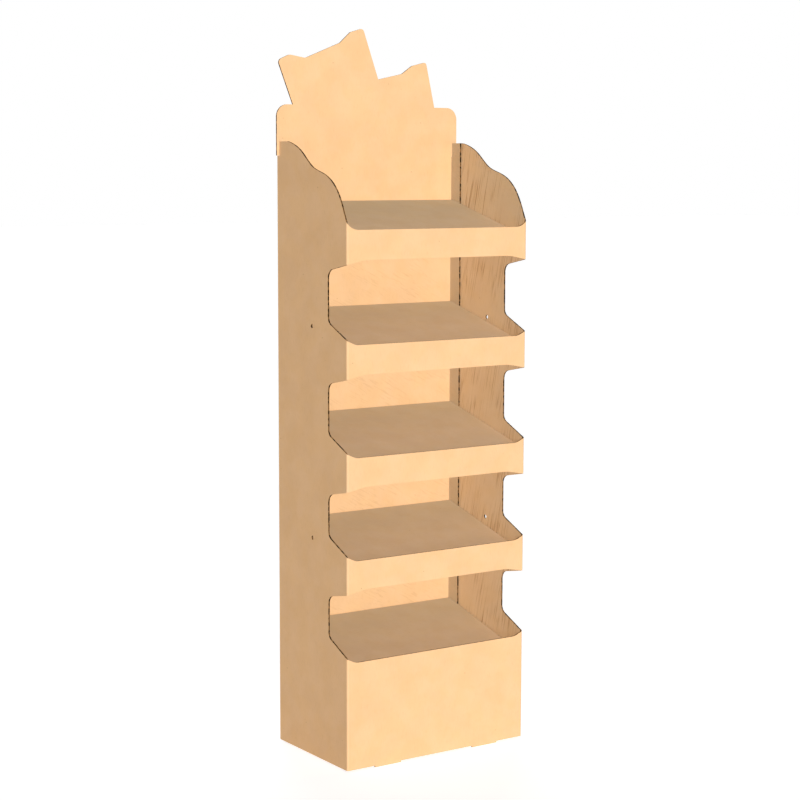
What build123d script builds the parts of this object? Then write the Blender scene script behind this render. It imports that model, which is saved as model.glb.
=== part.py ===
from build123d import *
from math import cos, pi, radians, sin, sqrt, tan
import os

# Corrugated board, and how it is folded and put together
board = 3.0
fold_radius = 3.5  # outside of a folded edge
glue_gap = 0.2  # between two sheets that are glued or tucked together

# Body
width = 400.0
depth = 240.0

# Feet, cut with the front and the back panel
foot_drop = 3.0
foot_width = 58.0
foot_spacing = 221.0  # from middle to middle

# Shelves, from the bottom up: trays that slope down to the front
first_shelf = 234.5  # height of its rear edge
shelf_pitch = 200.0
shelf_slope = 15.5  # degrees
shelf_flange = 30.0
shelf_corner = 1.0  # between the corners that are cut out of the tray and its flanges' folds

# Lips across the front, one for each shelf from the bottom up
lip_drops = [31.5, 44.0, 56.0, 52.5, 48.0]  # from the shelf's rear edge down to the lip's top
lip_height = 53.5  # of each lip above the base

# Windows between the lips, cut round both folds into the sides
window_reach = 64.5  # from the front face back into the side
sill_slope = 24.5  # degrees, rising towards the side
sill_turn = 18.5  # from the side to where the sill starts to rise
sill_radius = 30.0
sill_corner_radius = 15.0
head_slope = 11.3  # degrees, falling towards the side
head_turn = 40.0  # from the side to where the head starts to fall
head_radius = 100.0
head_corner_radius = 17.0

# Open top bay: the top lip curves up at its ends, and the sides are scalloped
top_bay = 109.0  # from the top shelf's rear edge up to the sides' top
lip_end = 25.0
lip_end_radius = 32.0
scallop_start = 15.0  # above the top lip, where the side begins behind the fold
scallop_front = [(20.0, 48.5), (39.0, 74.5), (64.0, 92.5)]  # from the front, above the lip
scallop_rear = [(151.0, 55.5), (125.0, 47.0), (99.0, 29.0)]  # from the rear, below the top
scallop_rear += [(80.0, 15.5), (56.0, 5.0)]
scallop_end = 30.0  # from the rear

# Tie holes through both sides, near every second shelf
tie_drops = [18.0, 25.5]  # below the shelf's rear edge
hole_back = 119.0  # from the front face
hole_diameter = 8.0

# Back panel
flange_width = 33.5

# Notches at the sides' rear top corners, where the header's ears pass through
notch_height = 26.0
notch_depth = 7.5
notch_inset = 10.0

# Header
ear_reach = 4.5  # beyond the side
shoulder_rise = 68.5  # above the sides' top
shoulder_radius = 23.0
header_tail = 60.0  # below the top shelf's rear edge

# Header's two leaning cards: across from the header's edge, up from its shoulder, corner radius
card_root = -20.0
left_card = [(43.0, card_root, 0), (3.0, 80.3, 8), (28.0, 91.4, 15), (62.5, 86.1, 15), (138.5, 116.5, 10)]
left_card += [(161.5, 137.0, 10), (190.2, 145.5, 7), (250.7, card_root, 0)]
right_card = [(224.5, card_root, 0), (224.5, 42.0, 0), (129.6, 62.6, 10), (106.5, 78.4, 8)]
right_card += [(73.4, 86.8, 6), (48.7, card_root, 0)]

# Places that follow from the sizes above
half = width / 2
front = -depth / 2
rear = depth / 2
flat = half - fold_radius  # the front panel is flat up to here
fold_back = front + fold_radius  # and each side is flat from here
fold_length = fold_radius * pi / 2
inner_radius = fold_radius - board
inside = half - board - glue_gap  # half the width of what fits between the sides
inside_flat = inside - fold_radius  # half the width between the folds of what fits there
flange_front = rear - flange_width
header_back = rear - board - glue_gap
header_front = header_back - board
header_half = half + ear_reach
shelf_front = front + board + glue_gap
shelf_heights = [first_shelf + shelf_pitch * level for level in range(len(lip_drops))]
lip_tops = [height - drop for height, drop in zip(shelf_heights, lip_drops)]
tie_heights = [height - drop for height, drop in zip(shelf_heights[1::2], tie_drops)]
side_top = shelf_heights[-1] + top_bay
notch_floor = side_top - notch_height
shoulder = side_top + shoulder_rise
over = 1.0  # how far a cutter runs past the board
fold_steps = 6  # of the cut round a fold


def face(corners):
    """Closed outline from (across, up, corner radius)."""
    with BuildLine() as outline:
        points = [(across, up) for across, up, radius in corners]
        FilletPolyline(*points, radius=[radius for across, up, radius in corners], close=True)
    make_face(outline.edges())


def block(low_x, high_x, low_y, high_y, low_z, high_z):
    """Rectangular cutter on the right of the stand."""
    with BuildPart() as cutter:
        with BuildSketch(Plane.XY.offset(low_z)):
            face([(low_x, low_y, 0), (high_x, low_y, 0), (high_x, high_y, 0), (low_x, high_y, 0)])
        extrude(amount=high_z - low_z)
    return cutter.part


def on_both_sides(right):
    """A cutter and its mirror image on the left."""
    return [right, mirror(right, about=Plane.YZ)]


def fold_cutter(low_front, low_side, high_front, high_side):
    """Cut round the right fold, winding from the front panel's heights to the side's."""
    inner = inner_radius / 2
    outer = fold_radius + over
    with BuildPart() as cutter:
        for step in range(fold_steps + 1):
            turn = step / fold_steps
            angle = turn * pi / 2
            low = low_front + turn * (low_side - low_front)
            high = high_front + turn * (high_side - high_front)
            away = (sin(angle), -cos(angle), 0)
            with BuildSketch(Plane((flat, fold_back, 0), x_dir=away, z_dir=(-cos(angle), -sin(angle), 0))):
                face([(inner, low, 0), (outer, low, 0), (outer, high, 0), (inner, high, 0)])
        loft(ruled=True)
    return cutter.part


def window_cutters(sill, head):
    """Window across the front, round both folds and into the sides."""
    rise = tan(radians(sill_slope))
    fall = tan(radians(head_slope))
    sill_fold = sill + (sill_turn - fold_radius) * rise
    head_fold = head - (head_turn - fold_radius) * fall
    sill_side = sill_fold + fold_length * rise
    head_side = head_fold - fold_length * fall
    back = front + window_reach
    run = back - fold_back
    with BuildPart() as across:
        with BuildSketch(Plane.XZ.offset(-fold_back)):
            sill_x = half - sill_turn
            head_x = half - head_turn
            left = [(-flat, head_fold, 0), (-flat, sill_fold, 0), (-sill_x, sill, sill_radius)]
            right = [(sill_x, sill, sill_radius), (flat, sill_fold, 0), (flat, head_fold, 0)]
            face(left + right + [(head_x, head, head_radius), (-head_x, head, head_radius)])
        extrude(amount=fold_radius + over)
    with BuildPart() as sides:
        with BuildSketch(Plane.YZ):
            bottom = [(fold_back, sill_side, 0), (back, sill_side + run * rise, sill_corner_radius)]
            top = [(back, head_side - run * fall, head_corner_radius), (fold_back, head_side, 0)]
            face(bottom + top)
        extrude(amount=half + over, both=True)
    fold = fold_cutter(sill_fold, sill_side, head_fold, head_side)
    return [across.part, sides.part] + on_both_sides(fold)


def top_cutters(sill):
    """Open top bay: everything above the top lip and the scalloped sides."""
    above = side_top + over
    end_x = half - lip_end
    sill_fold = sill + lip_end_radius - sqrt(lip_end_radius**2 - (lip_end - fold_radius) ** 2)
    sill_side = sill + scallop_start
    with BuildPart() as across:
        with BuildSketch(Plane.XZ.offset(-fold_back)):
            with BuildLine():
                RadiusArc((end_x, sill), (flat, sill_fold), -lip_end_radius)
                Polyline((flat, sill_fold), (flat, above), (-flat, above), (-flat, sill_fold))
                RadiusArc((-flat, sill_fold), (-end_x, sill), -lip_end_radius)
                Line((-end_x, sill), (end_x, sill))
            make_face()
        extrude(amount=fold_radius + over)
    with BuildPart() as sides:
        with BuildSketch(Plane.YZ):
            with BuildLine():
                points = [(front + back, sill + rise) for back, rise in scallop_front]
                points += [(rear - ahead, side_top - drop) for ahead, drop in scallop_rear]
                end = (rear - scallop_end, side_top)
                Spline((fold_back, sill_side), *points, end, tangents=[(1, 2), (1, 0)])
                Polyline(end, (rear - scallop_end, above), (fold_back, above), (fold_back, sill_side))
            make_face()
        extrude(amount=half + over, both=True)
    fold = fold_cutter(sill_fold, sill_side, above, above)
    return [across.part, sides.part] + on_both_sides(fold)


def folded_wrap(half_width, panel, arm_end):
    """Sheet folded into a U in plan, standing on its feet: panel across, arms to arm_end."""
    inward = board if arm_end > panel else -board
    with BuildPart() as wrap:
        with BuildSketch(Plane.XY.offset(foot_drop)):
            outer = [(half_width, panel, fold_radius), (half_width, arm_end, 0)]
            inner = [(half_width - board, arm_end, 0), (half_width - board, panel + inward, inner_radius)]
            right = outer + inner
            left = [(-x, y, radius) for x, y, radius in reversed(right)]
            face(right + left)
        extrude(amount=side_top - foot_drop)
        with BuildSketch():
            with Locations([(side * foot_spacing / 2, panel + inward / 2) for side in (-1, 1)]):
                Rectangle(foot_width, board)
        extrude(amount=foot_drop)
    return wrap.part


os.makedirs("parts", exist_ok=True)

# Notches for the header's ears, through both sides and the back panel's folds
notches = on_both_sides(
    block(half - notch_inset, half + over, rear - notch_depth, rear + over, notch_floor, side_top + over)
)

# Shell: front and both sides in one folded sheet, open at the back and at the bottom
openings = top_cutters(lip_tops[-1])
for sill, next_lip in zip(lip_tops, lip_tops[1:]):
    openings += window_cutters(sill, next_lip - lip_height)
with BuildPart() as shell:
    add(folded_wrap(half, front, rear))
    add(openings, mode=Mode.SUBTRACT)
    add(notches, mode=Mode.SUBTRACT)
    with BuildSketch(Plane.YZ):
        with Locations([(front + hole_back, height) for height in tie_heights]):
            Circle(hole_diameter / 2)
    extrude(amount=half + over, both=True, mode=Mode.SUBTRACT)
shell.part.label = "shell"
export_step(shell.part, "parts/shell.step")

# Back panel: one sheet with a flange folded forward inside each side
with BuildPart() as back_panel:
    add(folded_wrap(inside, rear, flange_front))
    add(notches, mode=Mode.SUBTRACT)
back_panel.part.label = "back_panel"
export_step(back_panel.part, "parts/back_panel.step")

# Header: flat card in front of the back panel, with its ears through the notches
with BuildPart() as header:
    with BuildSketch(Plane.XZ.offset(-header_back)):
        tail = shelf_heights[-1] - header_tail
        ear = notch_floor + glue_gap
        left, right = -inside_flat, inside_flat
        face([(left, tail, 0), (right, tail, 0), (right, side_top, 0), (left, side_top, 0)])
        left, right = -header_half, header_half
        shoulders = [(right, shoulder, shoulder_radius), (left, shoulder, shoulder_radius)]
        face([(left, ear, 0), (right, ear, 0)] + shoulders)
        face([(left + across, shoulder + up, radius) for across, up, radius in left_card])
        face([(right - across, shoulder + up, radius) for across, up, radius in right_card])
    extrude(amount=board)
header.part.label = "header"
export_step(header.part, "parts/header.step")


def shelf_tray(height, back):
    """Sloping tray with a flange folded down along each edge; height is its rear edge."""
    slope = tan(radians(shelf_slope))
    thick = board / cos(radians(shelf_slope))

    def top(y):
        return height - (back - y) * slope

    front_flange = shelf_front + board
    rear_flange = back - board
    side_start = shelf_front + fold_radius + shelf_corner
    side_end = flange_front - shelf_corner
    low_end = top(shelf_front)
    with BuildPart() as tray:
        with BuildSketch(Plane.YZ):
            upper = [(shelf_front, low_end - shelf_flange, 0), (shelf_front, low_end, fold_radius)]
            upper += [(back, height, fold_radius), (back, height - shelf_flange, 0)]
            lower = [(rear_flange, height - shelf_flange, 0)]
            lower += [(rear_flange, top(rear_flange) - thick, inner_radius)]
            lower += [(front_flange, top(front_flange) - thick, inner_radius)]
            lower += [(front_flange, low_end - shelf_flange, 0)]
            face(upper + lower)
        extrude(amount=inside, both=True)
        low = low_end - shelf_flange - over
        high = height + over
        edge = inside + over
        front_corner = block(inside_flat, edge, shelf_front - over, side_start, low, high)
        rear_corner = block(inside_flat, edge, side_end, back + over, low, high)
        add(on_both_sides(front_corner) + on_both_sides(rear_corner), mode=Mode.SUBTRACT)
        for side in (-1, 1):
            with BuildSketch(Plane.YZ.offset(side * inside)):
                ends = [(side_start, top(side_start), 0), (side_end, top(side_end), 0)]
                drops = [(y, z - shelf_flange, 0) for y, z, radius in reversed(ends)]
                face(ends + drops)
            extrude(amount=-side * board)
        along = Axis((0, 0, 0), (0, 1, slope))
        for side in (-1, 1):
            sloping = tray.edges().filter_by(along)
            outer = sloping.filter_by_position(Axis.X, side * inside - 0.01, side * inside + 0.01)
            fillet(outer.sort_by(Axis.Z)[-1], fold_radius)
    return tray.part


back_faces = [header_back - glue_gap] * (len(shelf_heights) - 1) + [header_front - glue_gap]
for number, (height, back) in enumerate(zip(shelf_heights, back_faces), start=1):
    shelf = shelf_tray(height, back)
    shelf.label = f"shelf_{number}"
    export_step(shelf, f"parts/shelf_{number}.step")
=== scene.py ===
from math import atan2, ceil, cos, floor, pi, radians, sin, sqrt, tan

import bpy
from mathutils import Matrix, Vector
from mathutils.geometry import delaunay_2d_cdt


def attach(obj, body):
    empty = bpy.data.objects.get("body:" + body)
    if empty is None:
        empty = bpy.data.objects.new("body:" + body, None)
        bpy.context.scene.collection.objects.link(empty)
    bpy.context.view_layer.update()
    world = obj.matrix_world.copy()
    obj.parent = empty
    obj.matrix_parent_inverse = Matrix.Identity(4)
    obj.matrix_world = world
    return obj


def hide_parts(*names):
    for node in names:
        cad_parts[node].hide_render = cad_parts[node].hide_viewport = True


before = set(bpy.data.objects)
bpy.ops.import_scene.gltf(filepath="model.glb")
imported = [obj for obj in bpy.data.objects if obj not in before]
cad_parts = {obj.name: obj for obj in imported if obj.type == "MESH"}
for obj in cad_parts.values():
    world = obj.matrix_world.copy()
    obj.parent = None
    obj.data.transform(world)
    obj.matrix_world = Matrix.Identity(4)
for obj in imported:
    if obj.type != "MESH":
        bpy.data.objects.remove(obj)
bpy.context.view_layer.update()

# Sizes of the sheets are in millimetres, and the finished meshes are in metres
MM = 0.001

# Corrugated board
board = 3.0
fold_radius = 3.5  # outside of a folded edge
glue_gap = 0.2  # between two sheets that are glued or tucked together
facing = 0.36  # thickness of each flat paper
wavy = 0.34  # thickness of the fluted paper between them
flute_pitch = 6.4
flute_step = flute_pitch / 8  # between the points along one wave
flute_clear = 0.05  # between the fluted paper and each flat paper
flute_depth = 2.6  # how deep a cut edge is modelled
set_back = 0.15  # of the fluted paper's own cut edge

# Body
width = 400.0
depth = 240.0

# Feet, cut with the front and the back panel
foot_drop = 3.0
foot_top = 5 * foot_drop  # of the outline, which overlaps the sheet's
foot_width = 58.0
foot_spacing = 221.0

# Shelves, from the bottom up
first_shelf = 234.5  # height of its rear edge
shelf_pitch = 200.0
shelf_slope = radians(15.5)
shelf_flange = 30.0
shelf_corner = 1.0

# Lips across the front, one for each shelf from the bottom up
lip_drops = [31.5, 44.0, 56.0, 52.5, 48.0]
lip_height = 53.5

# Windows between the lips
window_reach = 64.5  # from the front face back into the side
sill_slope = radians(24.5)
sill_turn = 18.5  # from the side to where the sill starts to rise
sill_radius = 30.0
sill_corner_radius = 15.0
head_slope = radians(11.3)
head_turn = 40.0  # from the side to where the head starts to fall
head_radius = 100.0
head_corner_radius = 17.0

# Open top bay
top_bay = 109.0  # from the top shelf's rear edge up to the sides' top
lip_end = 25.0
lip_end_radius = 32.0
scallop_start = 15.0  # above the top lip
scallop_front = [(20.0, 48.5), (39.0, 74.5), (64.0, 92.5)]  # from the front, above the lip
scallop_rear = [(151.0, 55.5), (125.0, 47.0), (99.0, 29.0)]  # from the rear, below the top
scallop_rear += [(80.0, 15.5), (56.0, 5.0)]
scallop_end = 30.0

# Tie holes through both sides, near every second shelf
tie_drops = [18.0, 25.5]  # below the shelf's rear edge
hole_back = 119.0
hole_diameter = 8.0

# Back panel's flanges, and the notches that the header's ears pass through
flange_width = 33.5
notch_height = 26.0
notch_depth = 7.5
notch_inset = 10.0

# Header and its two leaning cards: across from its edge, up from its shoulder, corner radius
ear_reach = 4.5
shoulder_rise = 68.5
shoulder_radius = 23.0
header_tail = 60.0
card_root = -20.0
left_card = [(43.0, card_root, 0), (3.0, 80.3, 8), (28.0, 91.4, 15), (62.5, 86.1, 15), (138.5, 116.5, 10)]
left_card += [(161.5, 137.0, 10), (190.2, 145.5, 7), (250.7, card_root, 0)]
right_card = [(224.5, card_root, 0), (224.5, 42.0, 0), (129.6, 62.6, 10), (106.5, 78.4, 8)]
right_card += [(73.4, 86.8, 6), (48.7, card_root, 0)]

# Places that follow from the sizes above
half = width / 2
front = -depth / 2
rear = depth / 2
flat = half - fold_radius  # the front panel is flat up to here
fold_length = fold_radius * pi / 2
side_start = flat + fold_length  # and each side from here, along the flat sheet
side_end = side_start + depth - fold_radius
inside = half - board - glue_gap
inside_flat = inside - fold_radius
flange_front = rear - flange_width
header_back = rear - board - glue_gap
header_front = header_back - board
shelf_front = front + board + glue_gap
shelf_heights = [first_shelf + shelf_pitch * level for level in range(len(lip_drops))]  # of their rear edges
lip_tops = [height - drop for height, drop in zip(shelf_heights, lip_drops)]
tie_heights = [height - drop for height, drop in zip(shelf_heights[1::2], tie_drops)]
side_top = shelf_heights[-1] + top_bay
notch_floor = side_top - notch_height
shoulder = side_top + shoulder_rise

# How the sheets are drawn
arc_step = 1.2  # between points on a rounded corner
fewest_steps = 3  # of a rounded corner
lip_end_steps = 18
fold_steps = 8
grid = 24.0  # between the points inside a sheet
grid_shift = (0.37, 0.41)  # of a grid step, so that none of them falls on a crease
merge_gap = 0.001  # closer points than this are one
straight = 1e-4  # sine of the turn below which a stretch is straight
sharpest = 0.6  # least share that the way in at a sharp corner is divided by
over = 5.0  # how far a cutout or a crease line runs past what it crosses
overlap = 1.0  # of a tray's outline and its side flanges'
tray_run = 2  # the sloping top among the spans of a tray's section


# Flat outlines

def with_next(items):
    """Each item of a closed row with the one after it."""
    return zip(items, items[1:] + items[:1])


def with_neighbours(items):
    """Each item of a closed row between the one before it and the one after it."""
    return zip(items[-1:] + items[:-1], items, items[1:] + items[:1])


def rounded(corners):
    """Closed outline through corners of (along, up, radius)."""
    points = []
    for before, (along, up, radius), after in with_neighbours(corners):
        here = Vector((along, up))
        if radius == 0:
            points.append(here)
            continue
        back = (Vector(before[:2]) - here).normalized()
        ahead = (Vector(after[:2]) - here).normalized()
        wedge = back.angle(ahead)
        centre = here + (back + ahead).normalized() * radius / sin(wedge / 2)
        first = here + back * radius / tan(wedge / 2) - centre
        turn = pi - wedge if back.x * ahead.y < back.y * ahead.x else wedge - pi
        steps = max(fewest_steps, ceil(abs(turn) * radius / arc_step))
        points += [centre + Matrix.Rotation(turn * step / steps, 2) @ first for step in range(steps + 1)]
    return points


def box_outline(low, high, bottom, top):
    """Rectangle on the flat sheet."""
    return rounded([(low, bottom, 0), (high, bottom, 0), (high, top, 0), (low, top, 0)])


def round_hole(along, up, diameter):
    """Circle on the flat sheet."""
    steps = ceil(diameter * pi / arc_step)
    turns = [2 * pi * step / steps for step in range(steps)]
    return [Vector((along + diameter / 2 * cos(turn), up + diameter / 2 * sin(turn))) for turn in turns]


def smooth_curve(points, first_heading, last_heading):
    """Smooth curve through points that leaves and arrives along the given headings."""
    points = [Vector(point) for point in points]
    spans = [(after - before).length for before, after in zip(points, points[1:])]
    slopes = [Vector(first_heading).normalized()]
    ratios = [0.0]
    for k in range(1, len(points) - 1):
        before, after = spans[k - 1], spans[k]
        arriving = (points[k] - points[k - 1]) * after / before
        leaving = (points[k + 1] - points[k]) * before / after
        weight = 2 * (before + after) - after * ratios[-1]
        slopes.append((3 * (arriving + leaving) - after * slopes[-1]) / weight)
        ratios.append(before / weight)
    slopes.append(Vector(last_heading).normalized())
    for k in range(len(points) - 2, 0, -1):
        slopes[k] -= ratios[k] * slopes[k + 1]
    curve = []
    for k, span in enumerate(spans):
        steps = ceil(span / arc_step / 2)
        for step in range(steps):
            t = step / steps
            bend = points[k] * (1 + 2 * t) * (1 - t) ** 2 + points[k + 1] * t * t * (3 - 2 * t)
            curve.append(bend + span * (slopes[k] * t * (1 - t) ** 2 - slopes[k + 1] * t * t * (1 - t)))
    return curve + points[-1:]


def mirrored(points):
    """The same outline on the other side of the sheet's middle, going on the other way."""
    return [Vector((-point.x, point.y)) for point in reversed(points)]


def goes_round(outline, spot):
    """Whether a closed outline goes round a spot."""
    within = False
    for a, b in with_next(outline):
        if (a.y > spot.y) != (b.y > spot.y) and spot.x < a.x + (spot.y - a.y) / (b.y - a.y) * (b.x - a.x):
            within = not within
    return within


def die_cut(shapes, cutouts):
    """Outlines of the sheet that shapes cover and cutouts don't, with the board on their left."""
    points = []
    faces = []
    for shape in shapes + cutouts:
        faces.append(list(range(len(points), len(points) + len(shape))))
        points += shape
    points, _, triangles, _, _, _ = delaunay_2d_cdt(points, [], faces, 0, merge_gap)
    kept = []
    for corners in triangles:
        middle = sum((points[corner] for corner in corners), Vector((0, 0))) / len(corners)
        if any(goes_round(shape, middle) for shape in shapes):
            if not any(goes_round(cutout, middle) for cutout in cutouts):
                kept.append(corners)
    sides = {side for corners in kept for side in with_next(corners)}
    following = {a: b for a, b in sides if (b, a) not in sides}
    outlines = []
    while following:
        here = next(iter(following))
        outline = []
        while here in following:
            outline.append(points[here].copy())
            here = following.pop(here)
        outlines.append(without_straights(outline))
    return [outline for outline in outlines if outline]


def without_straights(outline):
    """The outline without the points that lie on a straight stretch."""
    kept = []
    for before, here, after in with_neighbours(outline):
        back, ahead = here - before, after - here
        if abs(back.cross(ahead)) > straight * back.length * ahead.length:
            kept.append(here)
    return kept


def split_at(outline, axis, places, clear):
    """The outline with a point wherever it crosses one of the places, but none within clear of another."""
    points = []
    for here, after in with_next(outline):
        points.append(here)
        run = after - here
        if run[axis] == 0:
            continue
        low, high = sorted((here[axis], after[axis]))
        crossings = [(place - here[axis]) / run[axis] for place in places if low < place < high]
        for share in sorted(crossings):
            if clear < share * run.length < run.length - clear:
                points.append(here + run * share)
                points[-1][axis] = here[axis] + run[axis] * share
    return points


# Folding

class Section:
    """Section of a folded sheet: straight runs and bends to the left, with the board on its left."""

    def __init__(self, corners, start=None):
        corners = [Vector(corner) for corner in corners]
        runs = [after - before for before, after in zip(corners, corners[1:])]
        headings = [atan2(run.y, run.x) for run in runs]
        turns = [(after - before) % (2 * pi) for before, after in zip(headings, headings[1:])] + [0.0]
        cuts = [0.0] + [fold_radius * tan(turn / 2) for turn in turns]
        self.spans = []
        self.length = 0.0
        for corner, run, heading, turn, cut, next_cut in zip(corners, runs, headings, turns, cuts, cuts[1:]):
            ahead = run.normalized()
            self.add_span(run.length - cut - next_cut, corner + ahead * cut, heading, 0.0)
            if turn:
                self.add_span(fold_radius * turn, corner + run - ahead * next_cut, heading, turn)
        self.start = -self.length / 2 if start is None else start

    def add_span(self, length, point, heading, turn):
        self.spans.append((self.length, length, point, heading, turn))
        self.length += length

    def creases(self):
        """Where the bends are, along the flat sheet."""
        return [
            self.start + begin + length * step / fold_steps
            for begin, length, point, heading, turn in self.spans if turn
            for step in range(fold_steps + 1)
        ]

    def at(self, along, through, span=None):
        """Point, outward direction and share of the bend's painted highlight, at a place along the flat
        sheet.
        """
        along -= self.start
        if span is None:
            reached = along + merge_gap / 10
            span = max(k for k, (begin, *_) in enumerate(self.spans) if k == 0 or begin <= reached)
        begin, length, point, heading, turn = self.spans[span]
        step = along - begin
        if turn:
            left = Vector((-sin(heading), cos(heading)))
            centre = point + left * fold_radius
            heading += step / fold_radius
            outward = Vector((sin(heading), -cos(heading)))
            return centre + outward * (fold_radius - through), outward, sin(pi * min(1.0, step / length))
        outward = Vector((sin(heading), -cos(heading)))
        return point + Vector((cos(heading), sin(heading))) * step - outward * through, outward, 0.0


def upright(section):
    """Places a sheet whose section is a plan, standing up."""
    def place(along, up, through):
        point, outward, tint = section.at(along, through)
        return Vector((point.x, point.y, up)), Vector((outward.x, outward.y, 0)), tint
    return place


def tray(section, across):
    """Places a tray whose section is seen from the side, with flanges folded down at its sides as well."""
    def place(along, side, through):
        if abs(side) <= inside_flat + merge_gap:
            point, outward, tint = section.at(along, through)
            return Vector((side, point.x, point.y)), Vector((0, outward.x, outward.y)), tint
        middle, up, _ = section.at(along, 0, tray_run)
        point, outward, tint = across.at(-side, through)
        point_2d = middle + up * point.y
        return Vector((point.x, *point_2d)), Vector((outward.x, *(up * outward.y))), tint
    return place


# Sheets

def flute_line(position):
    """Depth of the fluted paper's middle at a place across the flutes."""
    swing = board / 2 - facing - wavy / 2 - flute_clear
    return board / 2 + swing * sin(2 * pi * position / flute_pitch)


def cut_edge(position):
    """Steps across a cut edge: depth through the board, distance in from the cut, and kind of paper."""
    low = flute_line(position) - wavy / 2
    high = low + wavy
    return [
        (0.0, 0.0, "cut"), (facing, 0.0, "inside"),
        (facing, flute_depth, "inside"), (low, flute_depth, "flute"),
        (low, set_back, "cut"), (high, set_back, "flute"),
        (high, flute_depth, "inside"), (board - facing, flute_depth, "inside"),
        (board - facing, 0.0, "cut"), (board, 0.0, None),
    ]


def inward(outline):
    """For each point of an outline, the direction into the board, longer at sharp corners."""
    directions = []
    for before, here, after in with_neighbours(outline):
        back = (here - before).orthogonal().normalized()
        ahead = (after - here).orthogonal().normalized()
        middle = (back + ahead).normalized()
        directions.append(middle / max(sharpest, middle.dot(ahead)))
    return directions


def flute_places(outlines, across):
    """Where the outlines get points, so that their cut edges follow the flutes."""
    spots = [point[across] for outline in outlines for point in outline]
    first, last = floor(min(spots) / flute_step), ceil(max(spots) / flute_step)
    return [flute_step * step for step in range(first, last + 1)]


def filled(outlines, creases):
    """Points and triangles of a flat sheet, and each outline as the numbers of its points."""
    points = [point for outline in outlines for point in outline]
    rims = []
    for outline in outlines:
        start = sum(map(len, rims))
        rims.append(list(range(start, start + len(outline))))
    lows = [min(point[axis] for point in points) for axis in (0, 1)]
    highs = [max(point[axis] for point in points) for axis in (0, 1)]
    edges = []
    for start, end in creases:
        edges.append((len(points), len(points) + 1))
        points += [Vector(start), Vector(end)]
    columns, rows = [ceil((high - low) / grid) for low, high in zip(lows, highs)]
    for column in range(1, columns):
        for row in range(1, rows):
            steps = (column + grid_shift[0], row + grid_shift[1])
            points.append(Vector([low + step * grid for low, step in zip(lows, steps)]))
    points, _, triangles, origins, _, owners = delaunay_2d_cdt(points, edges, rims, 0, merge_gap)
    triangles = [corners for corners, owner in zip(triangles, owners) if len(owner) == len(outlines)]
    used = sorted({corner for corners in triangles for corner in corners})
    number = {corner: k for k, corner in enumerate(used)}
    found = {origin: number[corner] for corner in used for origin in origins[corner]}
    triangles = [[number[corner] for corner in corners] for corners in triangles]
    return [points[corner] for corner in used], triangles, [[found[origin] for origin in rim] for rim in rims]


def sheet_of_board(name, outlines, creases, place, across, finishes, node):
    """Cuts a sheet, folds it and opens the flutes at its cut edges.

    outlines are closed, creases are pairs of points, place puts a point of the flat sheet in the stand,
    and across is the flat sheet's axis that the flutes lie across.
    """
    for axis in (0, 1):
        lines = sorted({start[axis] for start, end in creases if start[axis] == end[axis]})
        outlines = [split_at(outline, axis, lines, merge_gap) for outline in outlines]
    flutes = flute_places(outlines, across)
    outlines = [split_at(outline, across, flutes, flute_step / 8) for outline in outlines]
    points, triangles, rims = filled(outlines, creases)

    places, blanks, tints, normals = [], [], [], []

    def add_point(along, up, through):
        point, outward, tint = place(along, up, through)
        places.append(point * MM)
        blanks.append((along * MM, up * MM, through * MM))
        tints.append(tint)
        normals.append(outward)
        return len(places) - 1

    for through in (0.0, board):
        for point in points:
            add_point(point.x, point.y, through)
    count = len(points)
    polygons = triangles + [[corner + count for corner in reversed(corners)] for corners in triangles]
    kinds = ["outer"] * len(triangles) + ["inner"] * len(triangles)

    papers = [paper for _, _, paper in cut_edge(0.0)[:-1]]
    for outline, rim in zip(outlines, rims):
        ladder = []
        for here, direction, corner in zip(outline, inward(outline), rim):
            rungs = [corner]
            for through, into, _ in cut_edge(here[across])[1:-1]:
                spot = here + direction * into
                rungs.append(add_point(spot.x, spot.y, through))
            rungs.append(corner + count)
            ladder.append(rungs)
        for here, after in with_next(ladder):
            for step, paper in enumerate(papers):
                polygons.append([after[step], here[step], here[step + 1], after[step + 1]])
                kinds.append(paper)

    mesh = bpy.data.meshes.new(name)
    mesh.from_pydata(places, [], polygons)
    order = ["outer", "inner", "cut", "flute", "inside"]
    for kind in order:
        mesh.materials.append(finishes[kind])
    mesh.polygons.foreach_set("material_index", [order.index(kind) for kind in kinds])
    mesh.polygons.foreach_set("use_smooth", [kind in ("outer", "inner") for kind in kinds])
    on_sheet = mesh.attributes.new("on_sheet", "FLOAT_VECTOR", "POINT")
    on_sheet.data.foreach_set("vector", [value for blank in blanks for value in blank])
    # Where the bends are, for the painted highlight along the folds
    crease = mesh.attributes.new("crease", "FLOAT", "POINT")
    crease.data.foreach_set("value", tints)
    corner_normals = []
    for corners, kind in zip(polygons, kinds):
        turned = {"outer": 1, "inner": -1}.get(kind, 0)
        corner_normals += [normals[corner] * turned for corner in corners]
    mesh.normals_split_custom_set(corner_normals)
    piece = bpy.data.objects.new(name, mesh)
    bpy.context.scene.collection.objects.link(piece)
    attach(piece, "root")
    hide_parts(node)


# Shader maths

class Link:
    """A shader value: sums and products with it add the Math nodes that work them out."""

    def __init__(self, finish, socket):
        self.finish = finish
        self.socket = socket

    def math(self, operation, *values):
        return self.finish.node("ShaderNodeMath", {"operation": operation}, dict(enumerate(values)))

    def __add__(self, other):
        return self.math("ADD", self, other)

    def __sub__(self, other):
        return self.math("SUBTRACT", self, other)

    def __rsub__(self, other):
        return self.math("SUBTRACT", other, self)

    def __mul__(self, other):
        return self.math("MULTIPLY", self, other)

    __radd__ = __add__
    __rmul__ = __mul__

    def between(self, low, high):
        """0 where the value is low or less, 1 where it is high or more, smooth in between."""
        settings = {"interpolation_type": "SMOOTHSTEP"}
        values = {"Value": self, "From Min": low, "From Max": high}
        return self.finish.node("ShaderNodeMapRange", settings, values)


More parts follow.
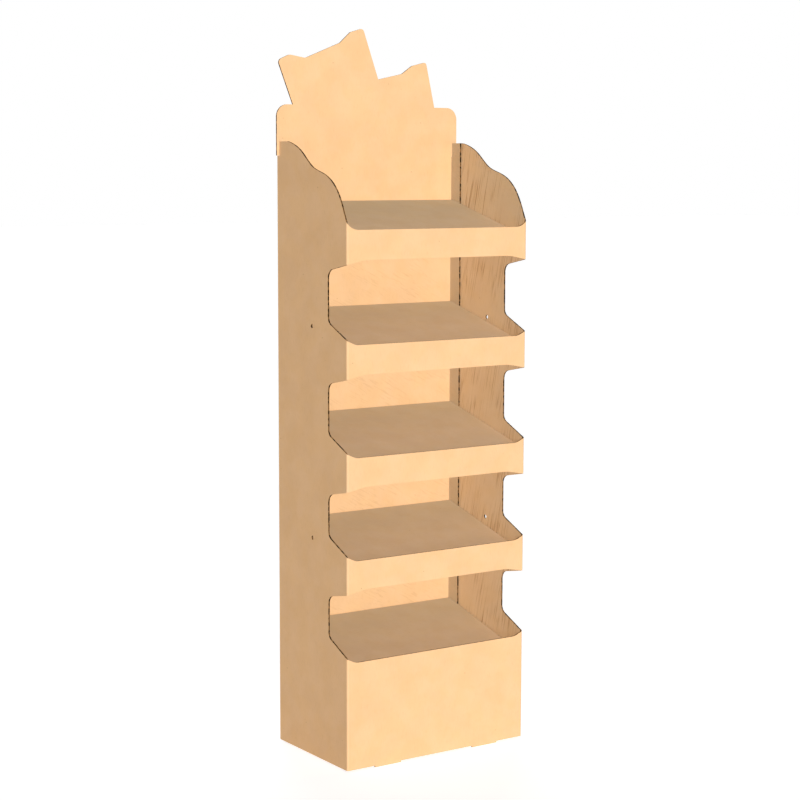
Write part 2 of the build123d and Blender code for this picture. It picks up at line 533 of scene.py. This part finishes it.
class Finish:
    """A material or world whose nodes are made one by one."""

    def __init__(self, holder):
        holder.use_nodes = True
        self.holder = holder
        self.tree = holder.node_tree
        self.tree.nodes.clear()

    def node(self, kind, settings=None, values=None, output=0):
        made = self.tree.nodes.new(kind)
        for name, setting in (settings or {}).items():
            setattr(made, name, setting)
        for name, value in (values or {}).items():
            if isinstance(value, Link):
                self.tree.links.new(value.socket, made.inputs[name])
            else:
                made.inputs[name].default_value = value
        return Link(self, made.outputs[output]) if made.outputs else None

    def mix(self, share, first, second, blend="MIX"):
        """Colour between first and second, by number, because the node's socket names repeat."""
        factor, colour_1, colour_2, result = 0, 6, 7, 2
        settings = {"data_type": "RGBA", "blend_type": blend}
        values = {factor: share, colour_1: first, colour_2: second}
        return self.node("ShaderNodeMix", settings, values, result)

    def noise(self, vector, scale, detail=2.0, roughness=0.5, wander=0.0):
        values = {
            "Vector": vector, "Scale": scale, "Detail": detail, "Roughness": roughness, "Distortion": wander,
        }
        return self.node("ShaderNodeTexNoise", {}, values)

    def stretched(self, vector, turn, size):
        """Sheet coordinates in units of a size, along axes turned by an angle."""
        values = {"Vector": vector, "Rotation": (0, 0, turn), "Scale": size}
        return self.node("ShaderNodeMapping", {"vector_type": "TEXTURE"}, values)


def paint(red, green, blue):
    """Colour as a paint chart gives it, 0 to 255, for a shader."""
    return tuple((level / 255) ** 2.2 for level in (red, green, blue)) + (1.0,)


kraft = paint(230, 187, 141)
# Kraft of the inner faces: darker partly for the inner liner's own tone and partly as painted shade against
# the bounce light inside the stand
grey_kraft_and_painted_shade = paint(212, 184, 147)
# Painted shade on the back wall's flanges, against the bounce light in the corner
flange_kraft_and_painted_shade = paint(190, 169, 139)
wall_kraft = paint(218, 181, 138)
# Shelf kraft with painted shade at the rear, against the wall's bounce light, and painted light at the front,
# where the lips shade it
shelf_kraft_and_painted_shade = paint(171, 153, 125)
shelf_kraft_and_painted_light = paint(197, 168, 135)
# Painted highlight along the folds
fold_painted_highlight = paint(240, 204, 168)
kraft_fibre = paint(145, 102, 62)
pale_cut = paint(204, 160, 112)
bare_cut = paint(150, 110, 68)
# From here to the darkest brown: painted shade in the open flutes of cut edges, darker the deeper in, and in
# patches along the cut faces
flute_painted_shade = paint(112, 78, 42)
inside_painted_shade = paint(70, 48, 26)
shaded_cut = paint(66, 44, 22)
deep_painted_shade = paint(24, 15, 7)
browner = (0.75, 0.66, 0.56, 1.0)
yellower = (1.0, 0.97, 0.88, 1.0)

# How strongly each of these shows in the flat papers
cloud_share = 0.18
yellow_share = 0.45
fibre_share = 0.10
speck_share = 0.6
# The folds' share is of a painted highlight
fold_highlight_share = 0.1

# Streaks: their turn on the sheet, their size in metres, and how strongly they show
side_streaks = (radians(13.0), (0.0027, 0.1, 1.0), 0.75)
wall_streaks = (radians(-62.0), (0.003, 0.03, 1.0), 0.16)

# Painted light and shade, as fades: from where to where they run along the sheet, either way, and the colour
# they reach
# The back wall's flanges are painted darker, as painted shade against the bounce light in the corner
wall_flange_painted_shade = (inside_flat, inside_flat + fold_length, flange_kraft_and_painted_shade)
# The shelves are painted darker at the rear and lighter at the front, as painted shade and painted light
shelf_painted_light_and_shade = (shelf_flange, depth + shelf_flange, shelf_kraft_and_painted_light)


def board_paper(name, ground, streaks=None, painted_light_and_shade=None):
    """Flat kraft paper of the board: clouds, fibres, a few specks, a painted highlight along the folds, and a
    ground colour that may run into painted light or shade along the sheet.
    """
    finish = Finish(bpy.data.materials.new(name))
    sheet = finish.node("ShaderNodeAttribute", {"attribute_name": "on_sheet"}, output="Vector")
    crease = finish.node("ShaderNodeAttribute", {"attribute_name": "crease"}, output="Fac")
    clouds = finish.noise(sheet, scale=16.0, detail=4.0, roughness=0.55)
    along_fibres = finish.stretched(sheet, 0.0, (0.0024, 0.014, 1.0))
    fibres = finish.noise(along_fibres, scale=1.0, detail=3.0, roughness=0.6)
    spots = finish.node("ShaderNodeTexVoronoi", {}, {"Vector": sheet, "Scale": 42.0})
    chance = finish.noise(sheet, scale=30.0, detail=1.0)
    specks = (1.0 - spots.between(0.025, 0.055)) * chance.between(0.48, 0.56)
    # Painted light and shade: the ground colour fades along the sheet into a lighter or a darker one
    if painted_light_and_shade:
        begin, end, painted_ground = painted_light_and_shade
        along = finish.node("ShaderNodeSeparateXYZ", {}, {0: sheet})
        painted_share = along.math("ABSOLUTE", along).between(begin * MM, end * MM)
        ground = finish.mix(painted_share, ground, painted_ground)
    colour = finish.mix(clouds.between(0.3, 0.7) * cloud_share, ground, browner, "MULTIPLY")
    yellow = finish.noise(sheet, scale=24.0).between(0.4, 0.62)
    colour = finish.mix(yellow * yellow_share, colour, yellower, "MULTIPLY")
    colour = finish.mix(fibres.between(0.5, 0.8) * fibre_share, colour, kraft_fibre)
    if streaks:
        turn, size, streak_share = streaks
        lines = finish.noise(finish.stretched(sheet, turn, size), scale=1.0, wander=0.7)
        patches = finish.noise(sheet, scale=14.0)
        streaked = lines.between(0.5, 0.7) * patches.between(0.35, 0.65) * streak_share
        colour = finish.mix(streaked, colour, kraft_fibre)
    colour = finish.mix(specks * speck_share, colour, kraft_fibre)
    # Painted highlight along the middle of each fold
    colour = finish.mix(crease * fold_highlight_share, colour, fold_painted_highlight)
    rough = 0.78 + 0.12 * fibres
    relief = fibres * 0.6 + clouds * 0.4
    normal = finish.node("ShaderNodeBump", {}, {"Strength": 0.25, "Distance": 0.0002, "Height": relief})
    values = {"Base Color": colour, "Roughness": rough, "Normal": normal, "Specular IOR Level": 0.2}
    surface = finish.node("ShaderNodeBsdfPrincipled", {}, values)
    finish.node("ShaderNodeOutputMaterial", {}, {"Surface": surface})
    return finish.holder


def torn_paper(name, colour, shade, painted_patch_shade):
    """Paper seen at a cut: rough, between colour and shade, with patches of painted shade like the shade of
    open flutes.
    """
    finish = Finish(bpy.data.materials.new(name))
    sheet = finish.node("ShaderNodeAttribute", {"attribute_name": "on_sheet"}, output="Vector")
    fibres = finish.noise(sheet, scale=700.0, detail=4.0, roughness=0.65)
    painted_shade_patches = finish.noise(sheet, scale=130.0, detail=1.0)
    tint = finish.mix(fibres.between(0.35, 0.65), colour, shade)
    # Patches of painted shade
    tint = finish.mix(painted_shade_patches.between(0.48, 0.52), tint, painted_patch_shade)
    rough = 0.85 + 0.1 * painted_shade_patches
    normal = finish.node("ShaderNodeBump", {}, {"Strength": 0.4, "Distance": 0.0002, "Height": fibres})
    values = {"Base Color": tint, "Roughness": rough, "Normal": normal, "Specular IOR Level": 0.0}
    surface = finish.node("ShaderNodeBsdfPrincipled", {}, values)
    finish.node("ShaderNodeOutputMaterial", {}, {"Surface": surface})
    return finish.holder


outer_paper = board_paper("outer_kraft", kraft)
side_paper = board_paper("inner_kraft", grey_kraft_and_painted_shade, streaks=side_streaks)
wall_paper = board_paper("back_wall_kraft", wall_kraft, streaks=wall_streaks, painted_light_and_shade=wall_flange_painted_shade)
shelf_paper = board_paper("shelf_kraft_and_painted_shade", shelf_kraft_and_painted_shade, painted_light_and_shade=shelf_painted_light_and_shade)
# The flute and deep papers inside the open flutes are painted shade, and the cut paper has patches of painted
# shade
edges_of_board = {
    "cut": torn_paper("cut_paper", pale_cut, bare_cut, shaded_cut),
    "flute": torn_paper("flute_paper", bare_cut, flute_painted_shade, deep_painted_shade),
    "inside": torn_paper("deep_paper", flute_painted_shade, inside_painted_shade, deep_painted_shade),
}


def finishes(outer, inner):
    """Papers of a sheet, and of its cut edges."""
    return {"outer": outer, "inner": inner, **edges_of_board}


def upright_creases(section):
    """Crease lines of a standing sheet."""
    return [((along, -2 * over), (along, side_top + 2 * over)) for along in section.creases()]


def feet():
    """The feet's outlines, overlapping the sheet a little."""
    middles = [side * foot_spacing / 2 for side in (-1, 1)]
    return [box_outline(middle - foot_width / 2, middle + foot_width / 2, 0, foot_top) for middle in middles]


# Shell: front and both sides in one sheet

def window(sill, head):
    """Window across the front, round both folds and into the sides."""
    reach = side_start + window_reach - fold_radius
    sill_end = sill + (reach - half + sill_turn) * tan(sill_slope)
    head_end = head - (reach - half + head_turn) * tan(head_slope)
    right = [
        (half - sill_turn, sill, sill_radius), (reach, sill_end, sill_corner_radius),
        (reach, head_end, head_corner_radius), (half - head_turn, head, head_radius),
    ]
    return rounded(right + [(-along, up, radius) for along, up, radius in reversed(right)])


def open_top(sill):
    """Everything above the top lip and the scalloped sides."""
    rise = lip_end_radius - sqrt(lip_end_radius ** 2 - (lip_end - fold_radius) ** 2)
    sweep = atan2(lip_end - fold_radius, lip_end_radius - rise)
    lip = [
        Vector((half - lip_end + lip_end_radius * sin(turn), sill + lip_end_radius * (1 - cos(turn))))
        for turn in [sweep * step / lip_end_steps for step in range(lip_end_steps + 1)]
    ]
    points = [(side_start, sill + scallop_start)]
    points += [(side_start + back - fold_radius, sill + up) for back, up in scallop_front]
    points += [(side_end - ahead, side_top - drop) for ahead, drop in scallop_rear]
    points += [(side_end - scallop_end, side_top)]
    scallops = smooth_curve(points, (1, 2), (1, 0))
    right = lip + scallops + [Vector((side_end - scallop_end, side_top + over))]
    return right + mirrored(right)


shell_section = Section([(-half, rear), (-half, front), (half, front), (half, rear)])
shapes = [box_outline(-side_end, side_end, foot_drop, side_top)] + feet()
cutouts = [open_top(lip_tops[-1])]
cutouts += [window(sill, next_lip - lip_height) for sill, next_lip in zip(lip_tops, lip_tops[1:])]
for side in (-1, 1):
    ends = sorted((side * (side_end - notch_depth), side * (side_end + over)))
    cutouts.append(box_outline(*ends, notch_floor, side_top + over))
    for height in tie_heights:
        along = side * (side_start + hole_back - fold_radius)
        cutouts.append(round_hole(along, height, hole_diameter))
sheet_of_board(
    "shell_sheet", die_cut(shapes, cutouts), upright_creases(shell_section), upright(shell_section), 0,
    finishes(outer_paper, side_paper), "shell",
)

# Back panel: one sheet with a flange folded forward inside each side
back_section = Section([(inside, flange_front), (inside, rear), (-inside, rear), (-inside, flange_front)])
back_end = back_section.length / 2
shapes = [box_outline(-back_end, back_end, foot_drop, side_top)] + feet()
notch_end = inside_flat + fold_length + notch_depth - fold_radius
cutouts = [
    box_outline(*sorted((side * (half - notch_inset), side * notch_end)), notch_floor, side_top + over)
    for side in (-1, 1)
]
sheet_of_board(
    "back_panel_sheet", die_cut(shapes, cutouts), upright_creases(back_section), upright(back_section), 1,
    finishes(outer_paper, wall_paper), "back_panel",
)

# Header: flat card with its ears through the notches
header_half = half + ear_reach
tail = shelf_heights[-1] - header_tail
shapes = [
    box_outline(-inside_flat, inside_flat, tail, side_top),
    rounded([
        (-header_half, notch_floor + glue_gap, 0), (header_half, notch_floor + glue_gap, 0),
        (header_half, shoulder, shoulder_radius), (-header_half, shoulder, shoulder_radius),
    ]),
    rounded([(across - header_half, shoulder + up, radius) for across, up, radius in left_card]),
    rounded([(header_half - across, shoulder + up, radius) for across, up, radius in right_card]),
]
header_section = Section([(-header_half, header_front), (header_half, header_front)])
sheet_of_board(
    "header_card", die_cut(shapes, []), [], upright(header_section), 0,
    finishes(outer_paper, outer_paper), "header",
)


# Shelves: sloping trays with a flange folded down along each edge

def shelf_tray(number, height, back):
    """One tray, whose rear edge is at a height and whose rear flange's outer face is at back."""
    low = height - (back - shelf_front) * tan(shelf_slope)
    corners = [(back, height - shelf_flange), (back, height)]
    corners += [(shelf_front, low), (shelf_front, low - shelf_flange)]
    section = Section(corners, 0.0)
    drop = shelf_flange * cos(shelf_slope)
    across = Section([(inside, -drop), (inside, 0.0), (-inside, 0.0), (-inside, -drop)])
    tray_start, _, tray_point, _, _ = section.spans[tray_run]

    def along_tray(y):
        return tray_start + (tray_point.x - y) / cos(shelf_slope)

    begin = along_tray(flange_front - shelf_corner)
    end = along_tray(shelf_front + fold_radius + shelf_corner)
    edge = across.length / 2
    fold_end = inside_flat + fold_length
    lean = [(inside_flat - overlap, 0.0), (inside_flat, 0.0), (fold_end, fold_radius), (edge, drop)]
    rear_side = [(begin + down * tan(shelf_slope), side, 0) for side, down in lean]
    front_side = [(end + down * tan(shelf_slope), side, 0) for side, down in lean]
    flange = rounded(rear_side + front_side[::-1])
    other = [Vector((point.x, -point.y)) for point in reversed(flange)]
    shapes = [box_outline(0.0, section.length, -inside_flat, inside_flat), flange, other]
    creases = [((along, -inside_flat), (along, inside_flat)) for along in section.creases()]
    creases += [((begin - over, side), (end + 3 * over, side)) for side in across.creases()]
    sheet_of_board(
        f"shelf_{number}_tray", die_cut(shapes, []), creases, tray(section, across), 0,
        finishes(shelf_paper, side_paper), f"shelf_{number}",
    )


for number, height in enumerate(shelf_heights, start=1):
    carrier = header_front if number == len(shelf_heights) else header_back
    shelf_tray(number, height, carrier - glue_gap)


# Floor, light and camera

def white_to_camera(finish, seen, unseen):
    """Shader that the camera, and gloss, see in place of the one that lights the stand."""
    path = finish.node("ShaderNodeLightPath")
    camera = Link(finish, path.socket.node.outputs["Is Camera Ray"])
    glossy = Link(finish, path.socket.node.outputs["Is Glossy Ray"])
    through = Link(finish, path.socket.node.outputs["Is Transmission Ray"])
    share = camera.math("MAXIMUM", camera.math("MAXIMUM", camera, glossy), through)
    return finish.node("ShaderNodeMixShader", {}, {0: share, 1: unseen, 2: seen})


def pale_floor():
    """Wide plain floor."""
    reach = 30.0
    corners = [(-reach, -reach, 0), (reach, -reach, 0), (reach, reach, 0), (-reach, reach, 0)]
    mesh = bpy.data.meshes.new("floor")
    mesh.from_pydata(corners, [], [(0, 1, 2, 3)])
    finish = Finish(bpy.data.materials.new("pale_floor"))
    plain = finish.node("ShaderNodeBsdfDiffuse", {}, {"Color": (0.86, 0.86, 0.86, 1)})
    glow = finish.node("ShaderNodeEmission", {}, {"Strength": 0.5})
    lifted = finish.node("ShaderNodeAddShader", {}, {0: plain, 1: glow})
    finish.node("ShaderNodeOutputMaterial", {}, {"Surface": white_to_camera(finish, lifted, plain)})
    mesh.materials.append(finish.holder)
    floor = bpy.data.objects.new("floor", mesh)
    bpy.context.scene.collection.objects.link(floor)


def sun(name, azimuth, elevation, strength, softness, casts_shadow=True):
    """Soft lamp far away; azimuth 0 shines along +Y and 90 along -X."""
    lamp = bpy.data.lights.new(name, "SUN")
    lamp.energy = strength
    lamp.angle = radians(softness)
    lamp.use_shadow = casts_shadow
    rig = bpy.data.objects.new(name, lamp)
    turn, drop = radians(azimuth), radians(elevation)
    aim = Vector((-sin(turn) * cos(drop), cos(turn) * cos(drop), -sin(drop)))
    rig.rotation_euler = aim.to_track_quat("-Z", "Y").to_euler()
    bpy.context.scene.collection.objects.link(rig)


def studio():
    """White surroundings, a low lamp from the front left with two shadowless fills, and one from behind."""
    world = bpy.data.worlds.new("studio")
    bpy.context.scene.world = world
    finish = Finish(world)
    ambient = finish.node("ShaderNodeBackground", {}, {"Color": (1.0, 0.97, 0.95, 1.0), "Strength": 0.07})
    white = finish.node("ShaderNodeBackground", {}, {"Color": (1, 1, 1, 1), "Strength": 1.0})
    finish.node("ShaderNodeOutputWorld", {}, {"Surface": white_to_camera(finish, white, ambient)})
    sun("front_lamp", -25.0, 2.0, 0.5, 6.0)
    sun("front_fill", -21.0, 8.0, 3.0, 20.0, casts_shadow=False)
    sun("top_fill", -25.0, 80.0, 0.9, 20.0, casts_shadow=False)
    sun("rear_lamp", 150.0, 15.0, 1.5, 30.0)


def photo_camera():
    """Camera at the photograph's place."""
    eye = (-2.0277, -2.9815, 1.0974)
    yaw, pitch, roll = 0.5961, 0.1208, 0.0025
    lens = bpy.data.cameras.new("camera")
    lens.sensor_width = 36.0
    lens.lens = 86.43
    lens.clip_end = 100.0
    rig = bpy.data.objects.new("camera", lens)
    ahead = Vector((sin(yaw) * cos(pitch), cos(yaw) * cos(pitch), -sin(pitch)))
    level = Vector((cos(yaw), -sin(yaw), 0))
    above = level.cross(ahead)
    right = level * cos(roll) + above * sin(roll)
    above = right.cross(ahead)
    turned = Matrix((right, above, -ahead)).transposed().to_4x4()
    rig.matrix_world = Matrix.Translation(eye) @ turned
    bpy.context.scene.collection.objects.link(rig)
    bpy.context.scene.camera = rig


pale_floor()
studio()
photo_camera()
bpy.context.scene.view_settings.view_transform = "Standard"
